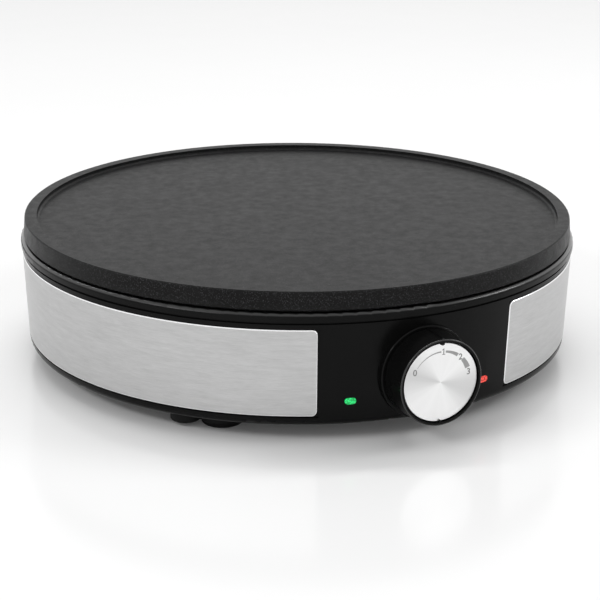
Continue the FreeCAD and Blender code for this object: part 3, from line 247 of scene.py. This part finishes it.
def trim_edge(graph, arc, up):
    """1 on the edge all round a trim panel, 0 inside it; the edge is smoother and painted
    lighter as a painted highlight.
    """
    beyond = []
    for place, half in (
        (graph.math("ABSOLUTE", arc), TRIM_HALF_ARC),
        (graph.math("ABSOLUTE", graph.math("SUBTRACT", up, TRIM_MIDDLE_Z)), TRIM_HALF_TALL),
    ):
        beyond.append(graph.math("SUBTRACT", place, half - TRIM_CORNER))
    outside = graph.length(*[graph.math("MAXIMUM", distance, 0.0) for distance in beyond])
    inside = graph.math("MINIMUM", graph.math("MAXIMUM", *beyond), 0.0)
    reach = graph.math("ADD", outside, inside)
    return graph.span(reach, 0.0, 1.0, TRIM_CORNER - 0.62 * MM, TRIM_CORNER - 0.42 * MM)


def make_brushed_trim():
    """Steel sheet brushed along its length, with a smoother edge all round that is painted
    lighter as a painted highlight.
    """
    graph = Graph("brushed_trim")
    where, (across, along, up) = graph.position()
    behind_axis = graph.math("SUBTRACT", along, AXIS_Y)
    angle = graph.math("ARCTAN2", behind_axis, graph.math("ABSOLUTE", across))
    arc = graph.math("MULTIPLY", angle, TRIM_RADIUS)
    side = graph.math("SIGN", across)
    streaks = graph.combine(graph.math("MULTIPLY", arc, 0.12), side, up)
    coarse = graph.noise(streaks, 420.0, 5.0, 0.65)
    fine = graph.noise(graph.stretched(streaks, (0.5, 1.0, 1.0)), 2600.0, 4.0, 0.7)
    halves = [graph.math("MULTIPLY", streak, 0.5) for streak in (coarse, fine)]
    both = graph.math("ADD", *halves)
    brushed = graph.ramp(both, (0.36, grey(0.45)), (0.50, grey(0.52)), (0.64, grey(0.59)))
    edge = trim_edge(graph, arc, up)
    # The edge is painted lighter than the brushed steel, as a painted highlight; its lower
    # roughness is real
    graph.colour(graph.blend(edge, brushed, (0.93, 0.93, 0.94)))
    rough = graph.span(both, 0.30, 0.44, 0.35, 0.65)
    graph.rough(graph.math("SUBTRACT", rough, graph.math("MULTIPLY", edge, 0.15)))
    graph.set(Metallic=1.0, Anisotropic=0.5)
    tangent = graph.node("ShaderNodeTangent", direction_type="RADIAL", axis="Z")
    graph.link(tangent.outputs[0], graph.shader.inputs["Tangent"])
    graph.bump(both, 0.00003, 0.5)
    return graph.material


# The direction of the dial's two darker fans, a painted reflection of the spun metal, counted
# from the right, anticlockwise
PAINTED_REFLECTION_FAN_ANGLE = 162.0


def make_dial_metal():
    """Spun metal: fine rings about the dial's centre, two broad darker fans of painted
    reflection, and a painted highlight round its rim.
    """
    graph = Graph("dial_metal")
    _, (across, _, up) = graph.position()
    aside, above = graph.from_dial(across, up)
    radius = graph.length(aside, above)
    angle = graph.math("ARCTAN2", above, aside)
    rings = graph.noise(graph.combine(radius, 0.0, 0.0), 9000.0, 3.0)
    streaks = graph.noise(
        graph.combine(
            graph.math("MULTIPLY", graph.math("COSINE", angle), 0.001),
            graph.math("MULTIPLY", graph.math("SINE", angle), 0.001),
            0.0,
        ),
        2500.0, 3.0,
    )
    # Two darker fans painted across the dial: a painted reflection of the spun metal
    turned = graph.math("SUBTRACT", angle, math.radians(PAINTED_REFLECTION_FAN_ANGLE))
    facing = graph.math("ABSOLUTE", graph.math("COSINE", turned))
    painted_reflection_fan = graph.math("POWER", facing, 6.0)
    painted_fan_shade = graph.math("SUBTRACT", 0.88, graph.math("MULTIPLY", painted_reflection_fan, 0.24))
    drift = graph.math("MULTIPLY", graph.math("SUBTRACT", streaks, 0.5), 0.12)
    fine = graph.math("MULTIPLY", graph.math("SUBTRACT", rings, 0.5), 0.06)
    metal = graph.math("ADD", graph.math("ADD", painted_fan_shade, drift), fine)
    # A lighter ring painted at the dial's edge: a painted highlight on its chamfer
    painted_rim_highlight = graph.span(radius, 0.0, 1.0, DIAL_RADIUS - 0.62 * MM, DIAL_RADIUS - 0.45 * MM)
    metal_with_painted_highlight = graph.math("ADD", metal, graph.math("MULTIPLY", painted_rim_highlight, 0.16))
    graph.colour(graph.combine(metal_with_painted_highlight, metal_with_painted_highlight, metal_with_painted_highlight))
    graph.rough(graph.span(rings, 0.28, 0.40, 0.3, 0.7))
    graph.set(Metallic=1.0, Anisotropic=0.3)
    tangent = graph.node("ShaderNodeTangent", direction_type="RADIAL", axis="Y")
    graph.link(tangent.outputs[0], graph.shader.inputs["Tangent"])
    graph.bump(rings, 0.00002, 0.4)
    return graph.material


def make_print_ink(name, dark, light):
    """Grey ink on the dial."""
    graph = Graph(name)
    where, _ = graph.position()
    blotches = graph.noise(where, 3000.0, 2.0)
    graph.colour(graph.ramp(blotches, (0.3, grey(dark)), (0.7, grey(light))))
    graph.rough(graph.span(graph.noise(where, 1500.0, 2.0), 0.45, 0.6))
    return graph.material


def make_lit_lens(name, deep, bright, glow):
    """A translucent moulded lens, lit from behind through its small prisms."""
    graph = Graph(name)
    where, _ = graph.position()
    prisms = graph.cells(where, 900.0)
    shade = graph.ramp(prisms, (0.1, bright), (0.75, deep))
    graph.colour(shade)
    graph.link(shade, graph.shader.inputs["Emission Color"])
    graph.set(Emission_Strength=glow)
    graph.rough(graph.span(graph.noise(where, 800.0, 2.0), 0.12, 0.24))
    graph.bump(prisms, 0.00025, 0.6)
    return graph.material


def plain_metal(name, dark, light, rough_low, rough_high, scale=240.0):
    """Plated or bare metal with a mottled finish."""
    graph = Graph(name)
    where, _ = graph.position()
    mottle = graph.noise(where, scale, 5.0)
    graph.colour(graph.ramp(mottle, (0.3, dark), (0.7, light)))
    graph.rough(graph.span(mottle, rough_low, rough_high, 0.3, 0.7))
    graph.set(Metallic=1.0)
    graph.bump(mottle, 0.00004, 0.4)
    return graph.material


def make_ceramic():
    graph = Graph("ceramic")
    where, _ = graph.position()
    mottle = graph.noise(where, 300.0, 4.0)
    graph.colour(graph.ramp(mottle, (0.3, (0.78, 0.74, 0.66)), (0.7, (0.86, 0.83, 0.77))))
    graph.rough(graph.span(mottle, 0.25, 0.45))
    graph.bump(mottle, 0.0001, 0.3)
    return graph.material


def make_lamp_glass():
    graph = Graph("lamp_glass")
    where, _ = graph.position()
    swirl = graph.noise(where, 500.0, 3.0)
    graph.colour(graph.ramp(swirl, (0.3, (0.85, 0.84, 0.82)), (0.7, grey(0.93))))
    graph.rough(graph.span(swirl, 0.03, 0.10))
    graph.set(Transmission_Weight=0.9)
    return graph.material


MATERIALS = {
    "plate_coating": make_plate_coating(),
    "black_plastic": make_housing_plastic(),
    "knob_plastic": make_knob_plastic(),
    "base_plastic": moulded_plastic(
        "base_plastic", grey(0.005), grey(0.009), 0.50, 0.62, 1500.0, 0.00012, 0.15
    ).material,
    "foot_rubber": moulded_plastic(
        "foot_rubber", grey(0.006), grey(0.010), 0.68, 0.82, 1200.0, 0.00015, 0.12
    ).material,
    "brushed_trim": make_brushed_trim(),
    "dial_metal": make_dial_metal(),
    "green_lens": make_lit_lens("green_lens", (0.0, 0.24, 0.05), (0.01, 0.66, 0.16), 0.8),
    "red_lens": make_lit_lens("red_lens", (0.35, 0.010, 0.008), (0.88, 0.08, 0.05), 0.7),
    "lamp_glass": make_lamp_glass(),
    "ceramic": make_ceramic(),
    "plated_metal": plain_metal("plated_metal", grey(0.52), grey(0.66), 0.28, 0.42),
    "shield_sheet": plain_metal("shield_sheet", grey(0.55), grey(0.68), 0.35, 0.5, 90.0),
    "heater_tube": plain_metal(
        "heater_tube", (0.16, 0.14, 0.12), (0.30, 0.27, 0.24), 0.45, 0.65, 120.0
    ),
    "copper": plain_metal("copper", (0.62, 0.28, 0.14), (0.78, 0.42, 0.25), 0.25, 0.4),
}


def dress_nodes():
    """Every carried-over piece gets the material of its slot in the record."""
    for subpart in frame["record"]["subparts"]:
        piece = frame["nodes"][subpart["node"]]
        piece.data.materials.clear()
        piece.data.materials.append(MATERIALS[subpart["material_slot"]])


def add_mesh(name, vertices, faces, material):
    mesh = bpy.data.meshes.new(name)
    mesh.from_pydata(vertices, [], faces)
    mesh.validate()
    mesh.update()
    piece = bpy.data.objects.new(name, mesh)
    bpy.context.scene.collection.objects.link(piece)
    mesh.materials.append(material)
    return piece


DIGIT_INK = make_print_ink("digit_ink", 0.17, 0.22)
SCALE_INK = make_print_ink("scale_ink", 0.34, 0.40)
INK_RISE = 0.04 * MM
# How far the back of the print lies under the dial's face
INK_SINK = -0.02 * MM
SCALE_RADIUS = 16.5 * MM
DIGIT_TALL = 3.3 * MM
# How much a digit's outline is swollen, and its height as a share of the type's size
DIGIT_SWELL = 0.05 * MM
CAPITAL_SHARE = 0.7
# Each number with its angle on the dial, counted from the right, anticlockwise
DIAL_NUMBERS = {"0": 154.5, "2": 47.5, "3": 12.0}
ONE_ANGLE = 85.5
# Scale arcs: name, start angle, end angle, width at the start, width at the end
DIAL_ARCS = (
    ("scale_low", 145.5, 90.5, 0.25 * MM, 0.75 * MM),
    ("scale_mid", 81.5, 55.0, 1.1 * MM, 1.9 * MM),
    ("scale_high", 41.5, 21.0, 2.2 * MM, 2.9 * MM),
)
ARC_STEPS = 28
# The number one, drawn as a stem with a flag and a foot, in shares of its height
ONE_OUTLINE = (
    (-0.26, -0.50), (0.26, -0.50), (0.26, -0.40), (0.07, -0.40), (0.07, 0.50),
    (-0.04, 0.50), (-0.26, 0.33), (-0.26, 0.22), (-0.07, 0.33), (-0.07, -0.40), (-0.26, -0.40),
)


def dial_point(radius, degrees, lift=0.0):
    """A point on the dial's face, at a radius and an angle seen from the front."""
    angle = math.radians(degrees)
    return (
        DIAL_CENTRE.x + radius * math.cos(angle),
        DIAL_FACE_Y - lift,
        DIAL_CENTRE.z + radius * math.sin(angle),
    )


def print_on_dial(piece):
    """Join a printed piece to the dial, which stands still with the housing."""
    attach(piece, "root")


def add_scale_arc(name, start, end, start_width, end_width):
    """A thin printed arc that widens along the scale."""
    vertices = []
    for step in range(ARC_STEPS + 1):
        share = step / ARC_STEPS
        degrees = start + (end - start) * share
        half = (start_width + (end_width - start_width) * share) / 2
        for lift in (INK_RISE, INK_SINK):
            vertices.append(dial_point(SCALE_RADIUS - half, degrees, lift))
            vertices.append(dial_point(SCALE_RADIUS + half, degrees, lift))
    faces = []
    for step in range(ARC_STEPS):
        near = 4 * step
        far = near + 4
        faces.append((near, near + 1, far + 1, far))
        faces.append((near + 2, far + 2, far + 3, near + 3))
        faces.append((near, far, far + 2, near + 2))
        faces.append((near + 1, near + 3, far + 3, far + 1))
    last = 4 * ARC_STEPS
    faces.append((0, 2, 3, 1))
    faces.append((last, last + 1, last + 3, last + 2))
    print_on_dial(add_mesh(name, vertices, faces, SCALE_INK))


def add_digit(digit, degrees):
    """One plain number, upright, centred on the scale."""
    text = bpy.data.curves.new(f"digit_{digit}", "FONT")
    text.body = digit
    text.align_x = "CENTER"
    text.align_y = "CENTER"
    text.size = DIGIT_TALL / CAPITAL_SHARE
    text.extrude = INK_RISE / 2
    text.offset = DIGIT_SWELL
    text.resolution_u = 6
    holder = bpy.data.objects.new(f"digit_{digit}_curve", text)
    mesh = bpy.data.meshes.new_from_object(holder)
    mesh.name = f"digit_{digit}"
    mesh.transform(Matrix.Rotation(math.radians(90), 4, "X"))
    mesh.transform(Matrix.Translation(Vector(dial_point(SCALE_RADIUS, degrees, INK_RISE / 2))))
    bpy.data.objects.remove(holder)
    bpy.data.curves.remove(text)
    mesh.materials.clear()
    mesh.materials.append(DIGIT_INK)
    piece = bpy.data.objects.new(f"digit_{digit}", mesh)
    bpy.context.scene.collection.objects.link(piece)
    print_on_dial(piece)


def add_one():
    """The number one as a thin plate with its own outline."""
    middle = Vector(dial_point(SCALE_RADIUS, ONE_ANGLE))
    vertices = []
    for lift in (INK_RISE, INK_SINK):
        for across, up in ONE_OUTLINE:
            offset = Vector((across * DIGIT_TALL, -lift, up * DIGIT_TALL))
            vertices.append(middle + offset)
    count = len(ONE_OUTLINE)
    front = tuple(range(count))
    back = tuple(reversed(range(count, 2 * count)))
    faces = [front, back]
    for index in range(count):
        following = (index + 1) % count
        faces.append((following, index, index + count, following + count))
    print_on_dial(add_mesh("digit_1", vertices, faces, DIGIT_INK))


def add_dial_print():
    for digit, degrees in DIAL_NUMBERS.items():
        add_digit(digit, degrees)
    add_one()
    for arc in DIAL_ARCS:
        add_scale_arc(*arc)


# The camera, fitted to the photo's plate rim, housing edges and panels
CAMERA_PLACE = (-0.43019, -0.93957 + AXIS_Y, 0.37363)
CAMERA_HEADING = 24.71
CAMERA_PITCH = 18.622
CAMERA_ROLL = 0.3553
LENS = 110.30
SENSOR = 36.0


def add_camera():
    data = bpy.data.cameras.new("photo_camera")
    data.lens = LENS
    data.sensor_width = SENSOR
    data.clip_start = 0.05
    data.clip_end = 50.0
    camera = bpy.data.objects.new("photo_camera", data)
    heading = math.radians(CAMERA_HEADING)
    pitch = math.radians(CAMERA_PITCH)
    forward = Vector(
        (
            math.sin(heading) * math.cos(pitch),
            math.cos(heading) * math.cos(pitch),
            -math.sin(pitch),
        )
    )
    level = forward.cross(Vector((0, 0, 1))).normalized()
    roll = Matrix.Rotation(math.radians(-CAMERA_ROLL), 3, forward)
    right = roll @ level
    upward = right.cross(forward)
    turn = Matrix((right, upward, -forward)).transposed()
    camera.matrix_world = Matrix.Translation(CAMERA_PLACE) @ turn.to_4x4()
    bpy.context.scene.collection.objects.link(camera)
    bpy.context.scene.camera = camera


def add_softbox(name, place, width, height, power):
    """A large rectangular lamp that looks at the appliance."""
    data = bpy.data.lights.new(name, "AREA")
    data.shape = "RECTANGLE"
    data.size = width
    data.size_y = height
    data.energy = power
    lamp = bpy.data.objects.new(name, data)
    lamp.location = place
    aim = LAMP_TARGET - Vector(place)
    lamp.rotation_euler = aim.to_track_quat("-Z", "Y").to_euler()
    bpy.context.scene.collection.objects.link(lamp)


def seen_directly(tree):
    """1 for camera, mirror and see-through rays, 0 for the light that falls on things."""
    rays = tree.nodes.new("ShaderNodeLightPath")
    total = rays.outputs["Is Camera Ray"]
    for kind in ("Is Glossy Ray", "Is Transmission Ray"):
        add = tree.nodes.new("ShaderNodeMath")
        add.operation = "MAXIMUM"
        tree.links.new(total, add.inputs[0])
        tree.links.new(rays.outputs[kind], add.inputs[1])
        total = add.outputs[0]
    return total


def set_world():
    """A pale studio: white where it is seen, soft where it lights."""
    world = bpy.data.worlds.new("studio")
    bpy.context.scene.world = world
    world.use_nodes = True
    tree = world.node_tree
    background = tree.nodes["Background"]
    background.inputs["Color"].default_value = (1.0, 1.0, 1.0, 1.0)
    strength = tree.nodes.new("ShaderNodeMapRange")
    strength.inputs["To Min"].default_value = 0.62
    strength.inputs["To Max"].default_value = 1.0
    tree.links.new(seen_directly(tree), strength.inputs["Value"])
    tree.links.new(strength.outputs[0], background.inputs["Strength"])


FLOOR_HALF = 6.0
# A trace of light of its own, so that the floor is seen as white
FLOOR_GLOW = 0.03


def add_floor():
    """A wide white floor that keeps the object's shadow and a faint mirror image."""
    half = FLOOR_HALF
    corners = [(-half, -half, 0), (half, -half, 0), (half, half, 0), (-half, half, 0)]
    graph = Graph("floor")
    where, _ = graph.position()
    clouds = graph.noise(where, 3.0, 2.0)
    graph.colour(graph.ramp(clouds, (0.3, grey(0.92)), (0.7, grey(0.93))))
    graph.rough(graph.span(graph.noise(where, 20.0, 2.0), 0.14, 0.18))
    graph.set(Specular_IOR_Level=0.35)
    shown = graph.math("MULTIPLY", seen_directly(graph.tree), FLOOR_GLOW)
    graph.set(Emission_Color=(1.0, 1.0, 1.0, 1.0))
    graph.link(shown, graph.shader.inputs["Emission Strength"])
    floor = add_mesh("floor", corners, [(0, 1, 2, 3)], graph.material)


# Lamps: name, place, width, height, watts; each looks at the middle of the appliance
LAMPS = (
    ("overhead", (0.1, 0.5, 1.5), 1.6, 0.14, 8.0),
    ("left_key", (-1.35, -0.45, 1.1), 1.0, 0.26, 7.0),
    ("right_fill", (1.35, -0.5, 1.0), 0.7, 0.26, 5.5),
)
LAMP_TARGET = Vector((0.0, 0.0, 0.05))


def light_the_studio():
    set_world()
    for lamp in LAMPS:
        add_softbox(*lamp)


dress_nodes()
add_dial_print()
add_camera()
light_the_studio()
add_floor()
bpy.context.scene.view_settings.view_transform = "Standard"
